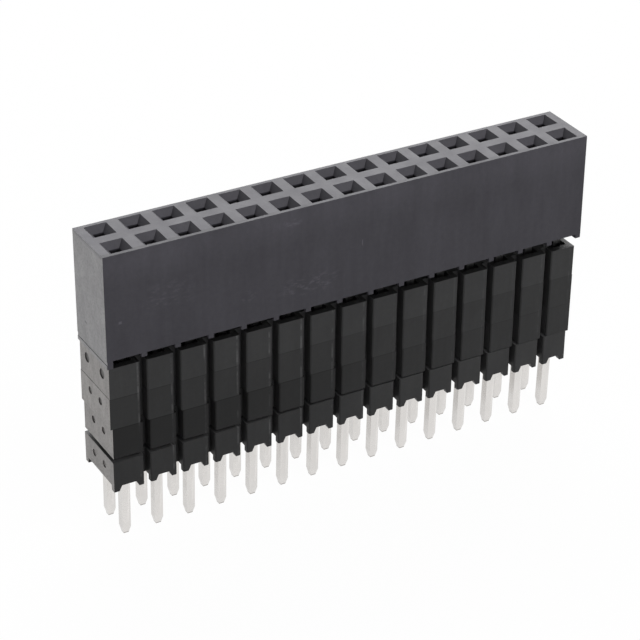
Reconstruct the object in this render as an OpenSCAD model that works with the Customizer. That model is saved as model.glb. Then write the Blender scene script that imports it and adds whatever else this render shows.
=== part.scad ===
// Elevated female pin header strip: two rows of sockets in one housing on a stack of
// comb-sided spacers, with one-piece contacts whose long square tails run down through
// the stack and stick out below it.
// Millimetres. X runs along the strip, Y across its two rows and Z up to the mating face.
// The origin is the middle of the contact pattern, level with the feet, where the strip
// meets a circuit board.

/* [Contact pattern] */
// Number of positions along the strip
positions = 15; // [2:1:25]
// Distance from one position to the next
pitch = 2.54; // [2.3:0.01:3]
// Distance between the two rows
row_pitch = 2.54; // [2.3:0.01:2.8]

/* [Socket housing] */
// Width of the housing across the rows
housing_w = 4.79; // [4.6:0.01:6]
// Height from the flat underside to the mating face
housing_h = 8; // [6:0.01:12]
// Plastic beyond the first position, at the left end
housing_end_l = 1.51; // [1.2:0.01:2.5]
// Plastic beyond the last position, at the right end
housing_end_r = 1.49; // [1.2:0.01:2.5]
// Side of the square mouth of each socket
mouth_w = 1.68; // [1.2:0.01:1.8]
// Side of the square throat that guides the mating pin
throat_w = 0.78; // [0.7:0.01:1]
// Straight length of the throat below the funnel
throat_l = 0.35; // [0.2:0.01:1]
// Size of the contact chamber along the strip
chamber_x = 1.24; // [1.1:0.01:1.6]
// Size of the contact chamber across the rows
chamber_y = 1.6; // [1.5:0.01:1.7]
// Width of the ribs under the housing, one above each slot of the top spacer
rib_w = 0.42; // [0.25:0.01:0.8]
// Height of those ribs
rib_h = 0.3; // [0.2:0.01:0.8]

/* [Spacers] */
// Width of the spacers across the rows
spacer_w = 4.72; // [4.4:0.01:5.2]
// Height of one spacer, feet included
spacer_h = 2.42; // [1.8:0.01:4]
// Plastic beyond the first position, at the left end
spacer_end_l = 1.31; // [1.2:0.01:2.2]
// Plastic beyond the last position, at the right end
spacer_end_r = 0.97; // [0.85:0.01:2.2]
// Width of the slots between the columns of a long side
slot_w = 0.52; // [0.2:0.01:0.8]
// Depth of those slots
slot_depth = 0.85; // [0.3:0.01:1]
// Bevel on the upright edges of the columns
column_bevel = 0.08; // [0.02:0.01:0.15]
// Side of the square holes for the contact tails
tail_hole_w = 1.15; // [1.12:0.01:1.3]

/* [Feet of the bottom spacer] */
// Height of the feet
foot_h = 0.42; // [0.2:0.01:0.8]
// Width of a foot where it leaves the spacer
foot_root_w = 0.6; // [0.3:0.01:0.7]
// Width of a foot at its tip
foot_tip_w = 0.4; // [0.15:0.01:0.5]
// Size of a foot across the rows
foot_depth = 0.42; // [0.25:0.01:0.8]

/* [Play in the stack] */
// Sideways shift of each spacer at its first position, top one first
shift_first = [-0.15, -0.17, -0.01, -0.05];
// Sideways shift of each spacer at its last position, top one first
shift_last = [0, 0.03, 0.03, -0.19];
// Gap between the ribs and the top spacer, at the right end
rib_gap = 0.63; // [0.5:0.01:1]
// How far the upper spacers stand off the bottom one, at the left end
lift = 0.33; // [0.01:0.01:0.45]
// Sideways lean of the first tail, measured at its tip
lean_first = -0.2; // [-0.35:0.01:0.2]
// Sideways lean of the last tail, measured at its tip
lean_last = -0.34; // [-0.35:0.01:0]

/* [Mould pits in the left end faces] */
// Diameter of the two pits in the top spacer
top_pit_d = 0.74; // [0.4:0.01:0.9]
// Diameter of the two pits in each other spacer
pit_d = 0.56; // [0.3:0.01:0.8]
// Distance between the pits of the top spacer
top_pit_gap = 2.44; // [1.6:0.01:3]
// Distance between the pits of the other spacers
pit_gap = 1.64; // [1.2:0.01:2.6]
// Height of the pits above the middle of each spacer
pit_lift = 0.3; // [0:0.01:0.4]
// Depth of the pits
pit_depth = 0.1; // [0.05:0.01:0.25]

/* [Contacts] */
// Side of the square tail
tail_w = 0.64; // [0.5:0.01:0.66]
// Length of tail below the feet
tail_l = 4.32; // [2:0.01:8]
// Length of the taper at the tip of the tail
tip_l = 0.55; // [0.3:0.01:1.5]
// Side of the blunt end of the tail
tip_w = 0.38; // [0.15:0.01:0.4]
// Height of the solid base that is pressed into the housing
base_h = 1.1; // [0.6:0.01:2]
// Height of the base above the underside of the housing
base_lift = 0.15; // [0:0.01:0.5]
// Gap between the base and the chamber walls
base_gap = 0.03; // [0.01:0.01:0.08]
// Height of each barb on the base
barb_h = 0.35; // [0.15:0.01:0.5]
// Thickness of the spring leaves
leaf_t = 0.2; // [0.1:0.01:0.25]
// Width of the spring leaves
leaf_w = 0.9; // [0.5:0.01:1]
// Gap between each leaf and the chamber wall, at its root
leaf_side_gap = 0.14; // [0.1:0.01:0.2]
// Length of leaf that rises straight from the base
leaf_root_l = 1.2; // [0.5:0.01:2]
// Open distance between the two leaves at their neck
leaf_neck = 0.4; // [0.2:0.01:0.5]
// Length of leaf above the neck, which flares to lead the pin in
leaf_flare_l = 0.7; // [0.4:0.01:1]
// How far the leaf tips flare out again
leaf_flare = 0.2; // [0.05:0.01:0.25]
// Gap between the leaf tips and the chamber roof
leaf_roof_gap = 0.3; // [0.1:0.01:0.6]

/* [Hidden] */
spacer_count = len(shift_first);
row_names = ["front", "back"];

grey = [0.29, 0.29, 0.31];
black = [0.14, 0.14, 0.15];
tin = [0.84, 0.83, 0.8];

span = (positions - 1) * pitch;
first_x = -span / 2;
last_x = span / 2;
column_w = pitch - slot_w;
// Small overlap that joins the shapes of one piece and opens a cut past a face
over = 0.2;
pit_facets = 32;

// Levels, from the board up
stack_top_z = spacer_count * spacer_h;
rib_z = stack_top_z + rib_gap;
underside_z = rib_z + rib_h;
mating_z = underside_z + housing_h;

// The upper spacers tilt as one, about the right end of the lowest of them
upper_count = spacer_count - 1;
lift_angle = asin(lift / spacer_len(upper_count));

// Levels inside the housing
funnel_depth = (mouth_w - throat_w) / 2;
roof_z = mating_z - funnel_depth - throat_l;
base_z = underside_z + base_lift;
base_top_z = base_z + base_h;
leaf_tip_z = roof_z - leaf_roof_gap;
tail_tip_z = -tail_l;

// Spring leaf, measured from the middle of the chamber to the middle of the leaf
leaf_root_y = chamber_y / 2 - leaf_side_gap - leaf_t / 2;
leaf_neck_y = (leaf_neck + leaf_t) / 2;
// Step outwards, above and below the neck, that rounds its bend
neck_round = leaf_t / 4;

function spacer_name(k) = str("spacer_", k);
function contact_name(row, i) =
    str("contact_", row_names[row], i < 10 ? "_0" : "_", i);

// Place of a position, counted from 1, and of a row, 0 at the front and 1 at the back
function position_x(i) = first_x + (i - 1) * pitch;
function row_y(row) = (row - 0.5) * row_pitch;

// Value at a position, going evenly from the first position's to the last one's
function along(first, last, i) =
    first + (last - first) * (i - 1) / max(positions - 1, 1);

// Middle of a spacer's column, counted from 1 at the left, and the spacer's two ends
function column_x(k, i) = position_x(i) + along(shift_first[k - 1], shift_last[k - 1], i);
function left_x(k) = column_x(k, 1) - spacer_end_l;
function right_x(k) = column_x(k, positions) + spacer_end_r;
function spacer_len(k) = right_x(k) - left_x(k);

// Left and right side of a column: the first and the last column reach to the ends
function column_l(k, i) = i == 1 ? left_x(k) : column_x(k, i) - column_w / 2;
function column_r(k, i) = i == positions ? right_x(k) : column_x(k, i) + column_w / 2;

// Front edge of a spacer, from left to right: round each column and into the slot after it.
// Its two ends are cut square.
function front_edge(k) = [
    for (i = [1:positions]) let (
        l = column_l(k, i),
        r = column_r(k, i),
        face = -spacer_w / 2,
        floor = face + slot_depth
    ) each concat(
        i == 1 ? [[l, face]]
            : [[l, floor], [l, face + column_bevel], [l + column_bevel, face]],
        i == positions ? [[r, face]]
            : [[r - column_bevel, face], [r, face + column_bevel], [r, floor]]
    )
];

// Whole outline: the front edge, then the same edge mirrored, from right to left
function spacer_points(k) =
    let (front = front_edge(k)) concat(
        front,
        [for (j = [len(front) - 1:-1:0]) [front[j].x, -front[j].y]]
    );

// Outline of a strip of even thickness round the middle line through the points
function unit(v) = v / norm(v);
function normal_at(points, j) =
    let (
        a = points[max(j - 1, 0)],
        b = points[min(j + 1, len(points) - 1)],
        d = unit(b - a)
    ) [-d.y, d.x];
function strip(points, t) = concat(
    [for (j = [0:len(points) - 1]) points[j] + normal_at(points, j) * t / 2],
    [for (j = [len(points) - 1:-1:0]) points[j] - normal_at(points, j) * t / 2]
);

// Outline in X and Z, made into a solid of the given size along Y
module extrude_y(depth) {
    rotate([90, 0, 0]) linear_extrude(depth, center = true) children();
}

// Outline in Y and Z, made into a solid of the given size along X
module extrude_x(depth) {
    rotate([90, 0, 90]) linear_extrude(depth, center = true) children();
}

// Square hole, as an outline
module square_at(x, y, side) {
    translate([x, y]) square(side, center = true);
}

// Funnel with four sloping walls, its throat and the contact chamber under it
module socket_space() {
    run = mouth_w / 2 + over;
    slope = [
        [-throat_w / 2, -funnel_depth - over], [throat_w / 2, -funnel_depth - over],
        [throat_w / 2, -funnel_depth], [run, over], [-run, over], [-throat_w / 2, -funnel_depth]
    ];
    translate([0, 0, mating_z]) intersection() {
        extrude_y(2 * run) polygon(slope);
        extrude_x(2 * run) polygon(slope);
    }
    translate([0, 0, (roof_z + mating_z - funnel_depth) / 2])
        cube([throat_w, throat_w, throat_l + over], center = true);
    translate([-chamber_x / 2, -chamber_y / 2, underside_z - over])
        cube([chamber_x, chamber_y, roof_z - underside_z + over]);
}

module socket_housing() {
    left = first_x - housing_end_l;
    right = last_x + housing_end_r;
    color(grey) difference() {
        union() {
            translate([left, -housing_w / 2, underside_z])
                cube([right - left, housing_w, housing_h]);
            for (i = [0:positions]) {
                middle = position_x(i) + pitch / 2;
                rib_l = max(middle - rib_w / 2, left);
                rib_r = min(middle + rib_w / 2, right);
                if (rib_r > rib_l)
                    translate([rib_l, -housing_w / 2, rib_z])
                        cube([rib_r - rib_l, housing_w, rib_h + over]);
            }
        }
        for (row = [0:1], i = [1:positions])
            translate([position_x(i), row_y(row), 0]) socket_space();
    }
}

// Comb-sided plate from one height to another, with its tail holes
module spacer_plate(k, bottom, top) {
    translate([0, 0, bottom]) linear_extrude(top - bottom) difference() {
        polygon(spacer_points(k));
        for (row = [0:1], i = [1:positions])
            square_at(column_x(k, i), row_y(row), tail_hole_w);
    }
}

// Two shallow pits in the left end face
module end_pits(k) {
    z = spacer_h / 2 + pit_lift;
    gap = k == 1 ? top_pit_gap : pit_gap;
    d = k == 1 ? top_pit_d : pit_d;
    for (side = [-1, 1])
        translate([left_x(k) - over, side * gap / 2, z])
            rotate([0, 90, 0]) cylinder(h = pit_depth + over, d = d, $fn = pit_facets);
}

// Side view of a foot under one corner of a column, tapered on its inner side
module foot_outline(x, inward) {
    translate([x, foot_h]) polygon([
        [0, over], [inward * foot_root_w, over], [inward * foot_root_w, 0],
        [inward * foot_tip_w, -foot_h], [0, -foot_h]
    ]);
}

// Feet along both long sides, flush with the faces of the columns
module feet(k) {
    intersection() {
        extrude_y(spacer_w) for (i = [1:positions]) {
            foot_outline(column_l(k, i), 1);
            foot_outline(column_r(k, i), -1);
        }
        linear_extrude(foot_h + over) difference() {
            polygon(spacer_points(k));
            square([2 * spacer_len(k), spacer_w - 2 * foot_depth], center = true);
        }
    }
}

// The bottom spacer stands on its feet
module bottom_spacer(k) {
    color(black) difference() {
        union() {
            spacer_plate(k, foot_h, spacer_h);
            feet(k);
        }
        end_pits(k);
    }
}

module upper_spacer(k) {
    hinge_x = right_x(upper_count);
    color(black) translate([hinge_x, 0, spacer_h]) rotate([0, lift_angle, 0])
        translate([-hinge_x, 0, (upper_count - k) * spacer_h]) difference() {
            spacer_plate(k, 0, spacer_h);
            end_pits(k);
        }
}

module spacer(k) {
    if (k == spacer_count) bottom_spacer(k);
    else upper_spacer(k);
}

// Square tail with a tapered tip, which leans sideways by the given distance at its end
module tail(lean) {
    drop = base_z - tail_tip_z;
    taper_z = tail_tip_z + tip_l;
    taper_lean = lean * (base_z - taper_z) / drop;
    half = tail_w / 2;
    end = tip_w / 2;
    side_view = [
        [-half, base_z + over], [-half, base_z], [taper_lean - half, taper_z],
        [lean - end, tail_tip_z], [lean + end, tail_tip_z], [taper_lean + half, taper_z],
        [half, base_z], [half, base_z + over]
    ];
    end_view = [
        [-half, base_z + over], [-half, taper_z], [-end, tail_tip_z],
        [end, tail_tip_z], [half, taper_z], [half, base_z + over]
    ];
    intersection() {
        extrude_y(tail_w + over) polygon(side_view);
        extrude_x(2 * (abs(lean) + tail_w)) polygon(end_view);
    }
}

// Solid base with a barb on each side that bites into the chamber wall
module contact_base() {
    half_x = chamber_x / 2 - base_gap;
    base_y = 2 * leaf_root_y + leaf_t;
    barb = [[0, 0], [base_gap, 0], [0, barb_h]];
    translate([-half_x, -base_y / 2, base_z]) cube([2 * half_x, base_y, base_h]);
    for (side = [0, 1]) mirror([side, 0, 0])
        translate([half_x, 0, base_z + (base_h - barb_h) / 2])
            extrude_y(base_y - leaf_t) polygon(barb);
}

// One spring leaf: straight from the base, bowed in to its neck, then flared out
module leaf() {
    neck_z = leaf_tip_z - leaf_flare_l;
    path = [
        [leaf_root_y, base_top_z - over],
        [leaf_root_y, base_top_z + leaf_root_l],
        [leaf_neck_y + neck_round, neck_z - leaf_t],
        [leaf_neck_y, neck_z],
        [leaf_neck_y + neck_round, neck_z + leaf_t],
        [leaf_neck_y + leaf_flare, leaf_tip_z]
    ];
    extrude_x(leaf_w) polygon(strip(path, leaf_t));
}

module contact(row, i) {
    color(tin) translate([position_x(i), row_y(row), 0]) {
        contact_base();
        tail(along(lean_first, lean_last, i));
        leaf();
        mirror([0, 1, 0]) leaf();
    }
}

socket_housing();
for (k = [1:spacer_count])
    spacer(k);
for (row = [0:1], i = [1:positions])
    contact(row, i);
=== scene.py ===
"""Studio picture of a tall two-row socket strip: materials, edges, light and camera.

Everything is in metres, in the frame of the CAD model: X along the strip, Y across its two
rows, Z up, with the origin where the feet meet a circuit board.
"""
import math
from collections import namedtuple

import bpy
from mathutils import Matrix, Vector

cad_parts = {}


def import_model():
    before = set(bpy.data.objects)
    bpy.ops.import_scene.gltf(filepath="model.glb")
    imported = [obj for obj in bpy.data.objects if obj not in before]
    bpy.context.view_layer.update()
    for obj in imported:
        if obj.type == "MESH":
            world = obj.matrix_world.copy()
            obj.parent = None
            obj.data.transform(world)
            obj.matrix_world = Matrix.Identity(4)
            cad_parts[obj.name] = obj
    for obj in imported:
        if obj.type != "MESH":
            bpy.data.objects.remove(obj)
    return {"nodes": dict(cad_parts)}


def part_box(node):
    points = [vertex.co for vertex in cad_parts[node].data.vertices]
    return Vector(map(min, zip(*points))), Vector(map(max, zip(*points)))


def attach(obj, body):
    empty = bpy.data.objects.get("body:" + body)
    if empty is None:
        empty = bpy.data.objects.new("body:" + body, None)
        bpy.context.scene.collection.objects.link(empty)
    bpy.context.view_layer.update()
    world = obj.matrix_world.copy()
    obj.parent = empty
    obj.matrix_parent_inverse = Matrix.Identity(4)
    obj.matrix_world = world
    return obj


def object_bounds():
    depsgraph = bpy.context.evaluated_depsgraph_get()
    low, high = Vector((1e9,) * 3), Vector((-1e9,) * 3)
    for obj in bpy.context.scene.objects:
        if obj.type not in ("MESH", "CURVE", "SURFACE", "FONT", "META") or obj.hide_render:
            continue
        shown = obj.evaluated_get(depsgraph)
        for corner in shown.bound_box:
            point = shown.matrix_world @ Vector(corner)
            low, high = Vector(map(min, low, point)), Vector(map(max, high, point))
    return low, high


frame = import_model()
cad_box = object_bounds()

MM = 0.001

# Camera, fitted to the socket mouths of the photograph; angles in degrees
CAMERA_AZIMUTH = 29.62
CAMERA_ELEVATION = 30.17
CAMERA_ROLL = 0.49
CAMERA_DISTANCE = 163.5 * MM
CAMERA_AIM = Vector((-3.46, -3.44, 10.06)) * MM
LENS = 131.75
SENSOR = 36
CLIP = (0.01, 10)

# Square lamps aimed at the object: azimuth and elevation in degrees, distance, side and radiance
LAMPS = {
    "back": (30, 30, 0.55, 0.5, 4.9),
    "front": (150, 52, 0.6, 0.5, 2.95),
    "viewer": (210, 35, 0.6, 0.5, 0.2),
    "left": (-75, 8, 0.5, 0.35, 2.9),
}
FILL_LIGHT = 0.08

# Floor: half its side, and how much of it shows as plain white, so that the shadow stays faint
FLOOR_HALF = 1.0
FLOOR_WHITE = 0.975

# Colours, linear
GREY = (0.0675, 0.065, 0.0765)
BLACK = (0.026, 0.026, 0.0265)
# The cut colours are paler partly for the rough cut and partly as painted light on the ends
LIT_CUT_GREY = (0.303, 0.3, 0.303)
LIT_CUT_BLACK = (0.328, 0.314, 0.306)
TIN = (0.72, 0.7, 0.68)
CUT_METAL = (0.3, 0.28, 0.26)
# Painted shade: the colour of the contacts inside the stack and the housing
METAL_IN_SHADE = (0.12, 0.12, 0.12)
FLOOR = (0.82, 0.82, 0.82)

# Sheen of the plastics
HOUSING_ROUGHNESS = 0.5
SPACER_ROUGHNESS = 0.46
PLASTIC_IOR = 1.5
PLASTIC_SPECULAR = 0.16

# Tones of a plastic piece, as shares of its colours: its moulded faces at the left and at the
# right end, a painted light in its slots and a painted light and shade on its upper faces, the
# pits of its cut end, and its cut ends. The seam share is a painted shade: how much darker
# the moulded faces are along the top seam.
Tones = namedtuple("Tones", "left right slot upper pit seam cut")
PLAIN = Tones(left=1, right=1, slot=1, upper=1, pit=1, seam=0, cut=1)
SPACER_TONES = {
    "spacer_1": Tones(left=1.36, right=1.44, slot=1.35, upper=0.15, pit=0.4, seam=0.0, cut=0.96),
    "spacer_2": Tones(left=0.95, right=1.12, slot=1.9, upper=1.0, pit=0.55, seam=0.25, cut=1.02),
    "spacer_3": Tones(left=0.37, right=1.06, slot=2.7, upper=1.0, pit=0.6, seam=0.6, cut=0.97),
    "spacer_4": Tones(left=0.96, right=1.38, slot=1.65, upper=1.8, pit=0.95, seam=0.0, cut=0.89),
}

# Slope of the tops of the lifted spacers: they rise 0.33 mm towards the left end
LIFT_SLOPE = 0.33 / 38.5

# How far a cut end face and its pits reach into a piece
END_DEPTH = 0.06 * MM
PIT_DEPTH = 0.16 * MM

# Pitch of the contacts, and how far the tip of a tail stands to the left of its column
PITCH = 2.54 * MM
TAIL_LEAN = 0.27 * MM

# Marks on the front of the housing: middle X and Z, half width and half height, all in mm, and
# strength. Those with a half width over WIDEST_SPECK are scuffs, broken up into streaks.
# MARK_CORE is the share of a mark's half size that is at full strength; the rest fades out.
MARKS = [
    (-3.7, 12.5, 2.8, 0.9, 0.5),
    (-8.6, 12.8, 0.8, 0.6, 0.3),
    (-14.6, 14.6, 2.2, 1.3, 0.3),
    (-5.2, 17.6, 1.2, 0.35, 0.4),
    (-18.2, 13.4, 0.16, 0.14, 0.9),
    (0.5, 14.7, 0.05, 0.3, 0.8),
]
WIDEST_SPECK = 0.5
MARK_CORE = 0.4

# Widths of the rounded edges, and the angle from which an edge counts as sharp
HOUSING_EDGE = 0.04 * MM
SPACER_EDGE = 0.012 * MM
TIN_EDGE = 0.06 * MM
SHARP_ANGLE = math.radians(32)

# Lip under the left end of the housing: its width, and its gaps to the spacer and the housing
LIP_WIDTH = 0.45 * MM
LIP_GAP_BELOW = 0.004 * MM
LIP_GAP_ABOVE = 0.002 * MM

CONTACTS = [name for name in frame["nodes"] if name.startswith("contact_")]

# Height above which the contacts are hidden in the top spacer and the housing
HIDDEN_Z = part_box("spacer_1")[0][2] + 1.5 * MM


class Nodes:
    """A short way to write the nodes of one material or world."""

    def __init__(self, owner):
        owner.use_nodes = True
        self.tree = owner.node_tree
        self.tree.nodes.clear()

    def add(self, kind, settings=None, **inputs):
        """New node; an input's name is written with _ for each space."""
        node = self.tree.nodes.new(kind)
        for name, value in (settings or {}).items():
            setattr(node, name, value)
        for name, value in inputs.items():
            self.put(node, name.replace("_", " "), value)
        return node

    def put(self, node, name, value):
        """Sets or links the input with this name or number."""
        self.fill(node.inputs[int(name)] if name.isdigit() else node.inputs[name], value)

    def fill(self, socket, value):
        """Links an input to another node's output, or sets its value."""
        if isinstance(value, bpy.types.NodeSocket):
            self.tree.links.new(value, socket)
        elif socket.type == "RGBA":
            socket.default_value = (*value, 1)
        else:
            socket.default_value = value

    def math(self, operation, a, b=0.0):
        node = self.add("ShaderNodeMath", {"operation": operation})
        self.put(node, "0", a)
        self.put(node, "1", b)
        return node.outputs[0]

    def times(self, *factors):
        product = factors[0]
        for factor in factors[1:]:
            product = self.math("MULTIPLY", product, factor)
        return product

    def rest(self, share):
        """What a share leaves of 1."""
        return self.math("SUBTRACT", 1.0, share)

    def ramp(self, value, low, high, to_low=0.0, to_high=1.0):
        """value between low and high, mapped to to_low ... to_high and clamped."""
        node = self.add("ShaderNodeMapRange", {"clamp": True})
        for name, amount in (("Value", value), ("From Min", low), ("From Max", high),
                             ("To Min", to_low), ("To Max", to_high)):
            self.put(node, name, amount)
        return node.outputs["Result"]

    def band(self, value, middle, half, soft):
        """1 where value is within half of middle, fading out over soft."""
        away = self.math("ABSOLUTE", self.math("SUBTRACT", value, middle))
        return self.ramp(away, half, half + soft, 1.0, 0.0)

    def mix(self, factor, a, b):
        """Colour a where factor is 0 and b where it is 1."""
        node = self.add("ShaderNodeMix", {"data_type": "RGBA"})
        colours = [socket for socket in node.inputs if socket.type == "RGBA"]
        factors = [socket for socket in node.inputs
                   if socket.name == "Factor" and socket.type == "VALUE"]
        for socket, value in ((factors[0], factor), (colours[0], a), (colours[1], b)):
            self.fill(socket, value)
        return [socket for socket in node.outputs if socket.type == "RGBA"][0]

    def shaded(self, colour, share):
        """The colour times a share."""
        node = self.add("ShaderNodeVectorMath", {"operation": "SCALE"}, Scale=share)
        self.put(node, "0", colour)
        return node.outputs[0]

    def place(self, stretch=(1, 1, 1)):
        """Place on the object, in metres, with each axis times its stretch."""
        where = self.add("ShaderNodeTexCoord").outputs["Object"]
        mapping = self.add("ShaderNodeMapping", Vector=where, Scale=stretch)
        return mapping.outputs["Vector"]

    def axis(self, name):
        """The X, Y or Z of the place on the object."""
        return self.add("ShaderNodeSeparateXYZ", Vector=self.place()).outputs[name]

    def noise(self, size, detail, roughness, stretch=(1, 1, 1)):
        """Soft noise from 0 to 1 whose lumps are about the given size."""
        node = self.add("ShaderNodeTexNoise", Vector=self.place(stretch), Scale=1 / size,
                        Detail=detail, Roughness=roughness)
        return node.outputs["Fac"]

    def uneven(self, low, high, *noise):
        """Noise, most of which lies between 0.3 and 0.7, spread out between low and high."""
        return self.ramp(self.noise(*noise), 0.3, 0.7, low, high)

    def facing(self, name):
        """How much the surface faces along X, Y or Z, whichever way."""
        normal = self.add("ShaderNodeNewGeometry").outputs["True Normal"]
        split = self.add("ShaderNodeSeparateXYZ", Vector=normal)
        return self.math("ABSOLUTE", split.outputs[name])

    def square(self, name):
        """1 on faces square to X, Y or Z, and 0 on those that slope much."""
        return self.ramp(self.facing(name), 0.6, 0.9)

    def across_column(self, lean=0.0):
        """Distance in X from the middle of the nearest column."""
        turns = self.math("DIVIDE", self.math("ADD", self.axis("X"), lean), PITCH)
        nearest = self.math("ROUND", turns)
        return self.math("MULTIPLY", self.math("SUBTRACT", turns, nearest), PITCH)

    def surface(self, colour, roughness, height, strength, distance):
        """Output of the material: a shader with this colour, roughness and bump height."""
        bump = self.add("ShaderNodeBump", Height=height, Strength=strength, Distance=distance)
        shader = self.add("ShaderNodeBsdfPrincipled", Base_Color=colour, Roughness=roughness,
                          Normal=bump.outputs["Normal"])
        self.add("ShaderNodeOutputMaterial", Surface=shader.outputs["BSDF"])
        return shader


def plastic(node, colour, lit_cut_colour, roughness, details, end_details=None, tones=PLAIN):
    """Satin moulded plastic, paler and rougher on the two cut ends of its node; the paleness is
    partly painted light.
    """
    material = bpy.data.materials.new(node)
    n = Nodes(material)
    low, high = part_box(node)

    end, cut = cut_shares(n, low, high, tones)
    if end_details:
        cut = n.times(cut, end_details(n, low, high))
    moulded = n.shaded(colour, n.times(moulded_tone(n, low, high, tones), details(n, low, high)))
    surface = n.mix(cut, moulded, tuple(tones.cut * share for share in lit_cut_colour))

    # Fine spark-eroded grain and peel, with a coarser tearing on the cut ends
    grain = n.times(n.noise(0.09 * MM, 2.0, 0.6), 0.35)
    tearing = n.times(n.noise(0.3 * MM, 4.0, 0.7), end)
    peel = n.times(n.noise(0.28 * MM, 3.0, 0.6), 1.5)
    height = n.math("ADD", n.math("ADD", grain, tearing), peel)
    rough = n.uneven(roughness - 0.04, roughness + 0.05, 1.4 * MM, 3.0, 0.6)
    shader = n.surface(surface, rough, height, 0.25, 0.02 * MM)
    shader.inputs["IOR"].default_value = PLASTIC_IOR
    shader.inputs["Specular IOR Level"].default_value = PLASTIC_SPECULAR
    return material


def cut_shares(n, low, high, tones):
    """Where the two cut end faces are, and how far the surface has the cut colour."""
    x = n.axis("X")
    at_end = n.math("MAXIMUM", n.math("LESS_THAN", x, low[0] + END_DEPTH),
                    n.math("GREATER_THAN", x, high[0] - END_DEPTH))
    end = n.times(at_end, n.square("X"))

    # The pits lie deeper, in the middle of the left end, clear of its edges
    deep = n.math("LESS_THAN", x, low[0] + PIT_DEPTH)
    clear_y, clear_z, soft = 0.3 * MM, 0.35 * MM, 0.05 * MM
    middle_z, half_z = (low[2] + high[2]) / 2, (high[2] - low[2]) / 2
    pit = n.times(deep, n.band(n.axis("Y"), 0.0, high[1] - clear_y, soft),
                  n.band(n.axis("Z"), middle_z, half_z - clear_z, soft), tones.pit)

    # Mottled look of the cut: pale upright smears over darker specks
    smears = n.ramp(n.noise(0.8 * MM, 4.0, 0.65, (1, 1, 0.5)), 0.34, 0.68, 0.74, 1.02)
    specks = n.ramp(n.noise(0.16 * MM, 2.0, 0.6), 0.3, 0.55, 0.75, 1.0)
    return end, n.times(n.math("MAXIMUM", end, pit), smears, specks)


def moulded_tone(n, low, high, tones):
    """Tone of the moulded faces."""
    # It drifts and is brushed and mottled a little, and it changes along the strip
    drift = n.uneven(0.88, 1.12, 3.5 * MM, 3.0, 0.55, (1, 1, 0.45))
    brushed = n.uneven(0.94, 1.06, 0.5 * MM, 3.0, 0.6, (1, 1, 0.12))
    mottled = n.uneven(0.94, 1.06, 0.35 * MM, 3.0, 0.7)
    x, z = n.axis("X"), n.axis("Z")
    run = n.ramp(x, low[0], high[0], tones.left, tones.right)

    # The faces in the slots get a painted light, and the upper faces a painted light and shade,
    # unlike the outer faces
    from_middle = n.math("ABSOLUTE", n.axis("Y"))
    slot = n.ramp(from_middle, high[1] - 0.25 * MM, high[1] - 0.1 * MM, tones.slot, 1.0)
    upper = n.times(n.square("Z"), n.ramp(z, low[2], high[2]))
    upper = n.ramp(upper, 0.3, 0.7, 1.0, tones.upper)

    # Painted shade: a dark line along the top seam, where the piece meets the one above, fainter
    # to the right
    sunk = n.math("MULTIPLY", n.math("SUBTRACT", x, low[0]), LIFT_SLOPE)
    below_top = n.math("SUBTRACT", n.math("SUBTRACT", high[2], sunk), z)
    seam = n.times(n.ramp(below_top, 0.04 * MM, 0.1 * MM, 1.0, 0.0),
                   n.ramp(x, -6 * MM, 4 * MM, 1.0, 0.3), tones.seam)
    return n.times(drift, brushed, mottled, run, slot, upper, n.rest(seam))


def housing_details(n, low, high):
    """Tone of the housing: painted shade in the throats and underside, on the funnel walls, low on
    the outer faces and on the top face, and marks on the front.
    """
    x, y, z = n.axis("X"), n.axis("Y"), n.axis("Z")
    # Painted shade: inside the outer walls it gets dark below the funnels
    skin, soft = 0.3 * MM, 0.1 * MM
    inner = n.times(n.band(y, 0.0, high[1] - skin, soft), n.band(x, 0.0, high[0] - skin, soft))
    throat_shade = n.times(inner, n.ramp(z, high[2] - 0.6 * MM, high[2] - 0.45 * MM, 1.0, 0.0), 0.8)

    # Painted shade: the funnel walls across the strip are darker, and so are the outer faces lower
    # down
    wall_shade = n.times(inner, n.ramp(n.facing("X"), 0.3, 0.6), 0.5)
    outer = n.ramp(n.math("ABSOLUTE", y), high[1] - 0.1 * MM, high[1] - 0.05 * MM)
    lower_shade = n.times(outer, n.ramp(z, high[2] - 2.6 * MM, high[2] - 0.8 * MM, 0.2, 0.0))

    # Painted shade: the top face is a little darker, and its front bar more so, most of all at the
    # left end
    top = n.times(n.square("Z"), n.math("GREATER_THAN", z, high[2] - 0.1 * MM))
    bar_shade = n.times(n.ramp(y, -2.1 * MM, -1.9 * MM, 1.0, 0.0),
                  n.ramp(x, -16 * MM, -2 * MM, 0.4, 0.18))
    top = n.times(top, n.math("MAXIMUM", bar_shade, 0.035))

    # Scuffs, a speck and a scratch on the front
    front = n.math("LESS_THAN", y, low[1] + 0.1 * MM)
    streaks = n.ramp(n.noise(0.35 * MM, 4.0, 0.7, (0.5, 1, 1.2)), 0.5, 0.62)
    marks = 1.0
    core, fade = MARK_CORE, 1 - MARK_CORE
    for mid_x, mid_z, half_x, half_z, strength in MARKS:
        mark = n.times(n.band(x, mid_x * MM, half_x * MM * core, half_x * MM * fade),
                       n.band(z, mid_z * MM, half_z * MM * core, half_z * MM * fade),
                       front, strength)
        if half_x > WIDEST_SPECK:
            mark = n.times(mark, streaks)
        marks = n.math("ADD", marks, mark)
    return n.times(n.rest(throat_shade), n.rest(wall_shade), n.rest(top), n.rest(lower_shade), marks)


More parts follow.
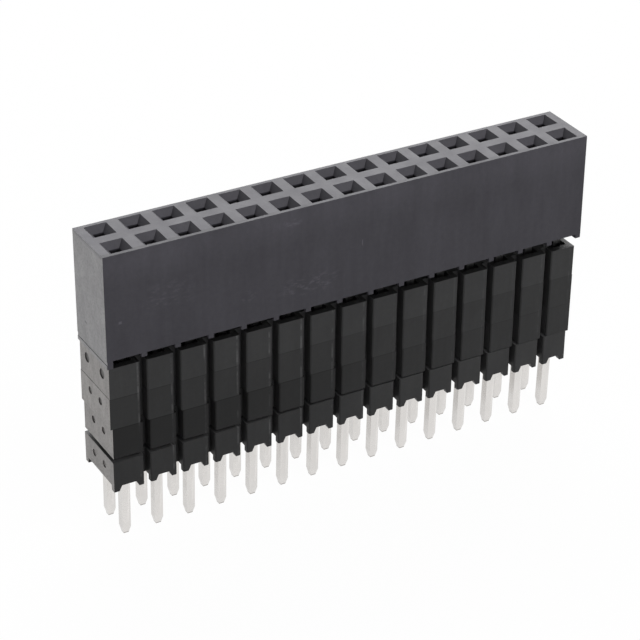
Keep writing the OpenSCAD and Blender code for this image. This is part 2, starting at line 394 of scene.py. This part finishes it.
def housing_end_details(n, low, high):
    """Share of the cut colour on the housing's ends: less in a nick, and less along the top as a
    painted shadow.
    """
    left = n.math("LESS_THAN", n.axis("X"), low[0] + END_DEPTH)
    nick = n.times(n.band(n.axis("Y"), 0.85 * MM, 0.1 * MM, 0.15 * MM),
                   n.band(n.axis("Z"), 12.1 * MM, 0.03 * MM, 0.08 * MM), left, 0.55)
    # Painted shadow along the top of the end face, under the overhang of the top face
    rim_shadow = n.ramp(n.axis("Z"), high[2] - 0.3 * MM, high[2] - 0.1 * MM, 0.0, 0.3)
    return n.rest(n.math("MAXIMUM", nick, rim_shadow))


def spacer_details(n, _low, _high):
    """Tone of a spacer: a patchy light streak near the right edge of each column."""
    patchy = n.ramp(n.noise(1.1 * MM, 3.0, 0.6, (0.35, 1, 1)), 0.44, 0.6)
    leftmost = n.ramp(n.axis("X"), -2 * MM, 2 * MM, 1.0, 0.25)
    streak = n.band(n.across_column(), 0.72 * MM, 0.02 * MM, 0.07 * MM)
    return n.math("ADD", 1.0, n.times(streak, patchy, leftmost, 1.6))


def tin():
    """Tin plate: soft bright metal with faint drawing lines and a bare cut tip."""
    material = bpy.data.materials.new("tin")
    n = Nodes(material)
    z = n.axis("Z")
    tip_z = cad_box[0][2]

    # Painted shade: the sides are darker than the front and back, which carry a painted highlight,
    # a bright streak
    cloud = n.uneven(0.96, 1.02, 0.8 * MM, 2.0, 0.5, (1, 1, 0.3))
    side = n.ramp(n.facing("X"), 0.3, 0.8, 1.0, 0.9)
    lean = n.ramp(z, tip_z, 0.0, TAIL_LEAN, 0.0)
    streak = n.times(n.facing("Y"), n.band(n.across_column(lean), 0.12 * MM, 0.03 * MM, 0.06 * MM),
                     n.ramp(z, tip_z + 0.8 * MM, tip_z + 1.6 * MM))
    tinned = n.shaded(TIN, n.times(cloud, side, n.ramp(streak, 0.0, 1.0, 1.0, 1.08)))

    # The cut tip is bare, and inside the stack and the housing the metal is darkened by painted
    # shade
    tip = n.ramp(z, tip_z + 0.02 * MM, tip_z + 0.12 * MM, 1.0, 0.0)
    in_shade = n.ramp(z, HIDDEN_Z - 0.3 * MM, HIDDEN_Z)
    tone = n.mix(in_shade, n.mix(tip, tinned, CUT_METAL), METAL_IN_SHADE)
    lines = n.noise(0.08 * MM, 3.0, 0.6, (1, 1, 0.06))
    rough = n.uneven(0.24, 0.36, 0.5 * MM, 2.0, 0.5)
    shader = n.surface(tone, rough, lines, 0.1, 0.01 * MM)
    shader.inputs["Metallic"].default_value = 1
    return material


def dress(name, material, edge):
    """Gives a CAD node its material and rounds its sharp edges."""
    piece = frame["nodes"][name]
    piece.data.materials.clear()
    piece.data.materials.append(material)
    bevel = piece.modifiers.new("edges", "BEVEL")
    bevel.width = edge
    bevel.segments = 2
    bevel.limit_method = "ANGLE"
    bevel.angle_limit = SHARP_ANGLE
    bevel.harden_normals = True


def link(name, data):
    """New object in the scene."""
    piece = bpy.data.objects.new(name, data)
    bpy.context.scene.collection.objects.link(piece)
    return piece


def end_lip(material):
    """Lip under the left end of the housing: the cut end face shows no gap there."""
    low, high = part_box("socket_housing")
    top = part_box("spacer_1")[1][2]
    corners = [(x, y, z) for x in (low[0], low[0] + LIP_WIDTH) for y in (low[1], high[1])
               for z in (top + LIP_GAP_BELOW, low[2] - LIP_GAP_ABOVE)]
    faces = [(0, 1, 3, 2), (4, 6, 7, 5), (0, 4, 5, 1), (2, 3, 7, 6), (0, 2, 6, 4), (1, 5, 7, 3)]
    mesh = bpy.data.meshes.new("end_lip")
    mesh.from_pydata(corners, [], faces)
    mesh.materials.append(material)
    piece = link("end_lip", mesh)
    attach(piece, "root")


def seen_background(n):
    """1 for rays that show the background: camera, glossy and transmission rays."""
    path = n.add("ShaderNodeLightPath").outputs
    seen = n.math("MAXIMUM", path["Is Camera Ray"], path["Is Glossy Ray"])
    return n.math("MAXIMUM", seen, path["Is Transmission Ray"])


def floor():
    """Pale floor under the tail tips, which shows white and keeps a soft shadow."""
    half, z = FLOOR_HALF, cad_box[0][2]
    corners = [(-half, -half, z), (half, -half, z), (half, half, z), (-half, half, z)]
    mesh = bpy.data.meshes.new("floor")
    mesh.from_pydata(corners, [], [(0, 1, 2, 3)])
    piece = link("floor", mesh)

    material = bpy.data.materials.new("floor")
    n = Nodes(material)
    matt = n.add("ShaderNodeBsdfDiffuse", Color=FLOOR).outputs["BSDF"]
    white = n.add("ShaderNodeEmission", Strength=1.0).outputs["Emission"]
    share = n.math("MULTIPLY", seen_background(n), FLOOR_WHITE)
    both = n.add("ShaderNodeMixShader")
    for name, value in (("0", share), ("1", matt), ("2", white)):
        n.put(both, name, value)
    n.add("ShaderNodeOutputMaterial", Surface=both.outputs["Shader"])
    mesh.materials.append(material)


def world():
    """White where it is seen, and a plain fill light elsewhere."""
    sky = bpy.data.worlds.new("studio")
    bpy.context.scene.world = sky
    n = Nodes(sky)
    strength = n.ramp(seen_background(n), 0.0, 1.0, FILL_LIGHT, 1.0)
    light = n.add("ShaderNodeBackground", Color=(1.0, 1.0, 1.0), Strength=strength)
    n.add("ShaderNodeOutputWorld", Surface=light.outputs["Background"])


def direction(azimuth, elevation):
    """Unit vector for two angles in degrees: azimuth 0 is along +Y and 90 along +X."""
    a, e = math.radians(azimuth), math.radians(elevation)
    return Vector((math.sin(a) * math.cos(e), math.cos(a) * math.cos(e), math.sin(e)))


def softbox(name, azimuth, elevation, distance, side, radiance):
    """Square lamp of the given radiance, aimed at the object."""
    lamp = bpy.data.lights.new(name, "AREA")
    lamp.size = side
    lamp.energy = radiance * math.pi * side * side
    holder = link(name, lamp)
    holder.location = CAMERA_AIM + distance * direction(azimuth, elevation)
    holder.rotation_euler = (CAMERA_AIM - holder.location).to_track_quat("-Z", "Y").to_euler()


def camera():
    """Camera that looks down on the front and the left end, as in the photograph."""
    forward = direction(CAMERA_AZIMUTH, -CAMERA_ELEVATION)
    level = forward.cross(Vector((0, 0, 1))).normalized()
    right = Matrix.Rotation(-math.radians(CAMERA_ROLL), 3, forward) @ level
    up = right.cross(forward)
    data = bpy.data.cameras.new("camera")
    data.sensor_width = SENSOR
    data.lens = LENS
    data.clip_start, data.clip_end = CLIP
    holder = link("camera", data)
    turn = Matrix((right, up, -forward)).transposed().to_4x4()
    holder.matrix_world = Matrix.Translation(CAMERA_AIM - CAMERA_DISTANCE * forward) @ turn
    bpy.context.scene.camera = holder


housing_plastic = plastic("socket_housing", GREY, LIT_CUT_GREY, HOUSING_ROUGHNESS, housing_details,
                          housing_end_details)
dress("socket_housing", housing_plastic, HOUSING_EDGE)
for name, tones in SPACER_TONES.items():
    black_plastic = plastic(name, BLACK, LIT_CUT_BLACK, SPACER_ROUGHNESS, spacer_details, tones=tones)
    dress(name, black_plastic, SPACER_EDGE)
tin_plate = tin()
for name in CONTACTS:
    dress(name, tin_plate, TIN_EDGE)

end_lip(housing_plastic)
floor()
world()
for name, lamp in LAMPS.items():
    softbox(name, *lamp)
camera()
bpy.context.scene.view_settings.view_transform = "Standard"
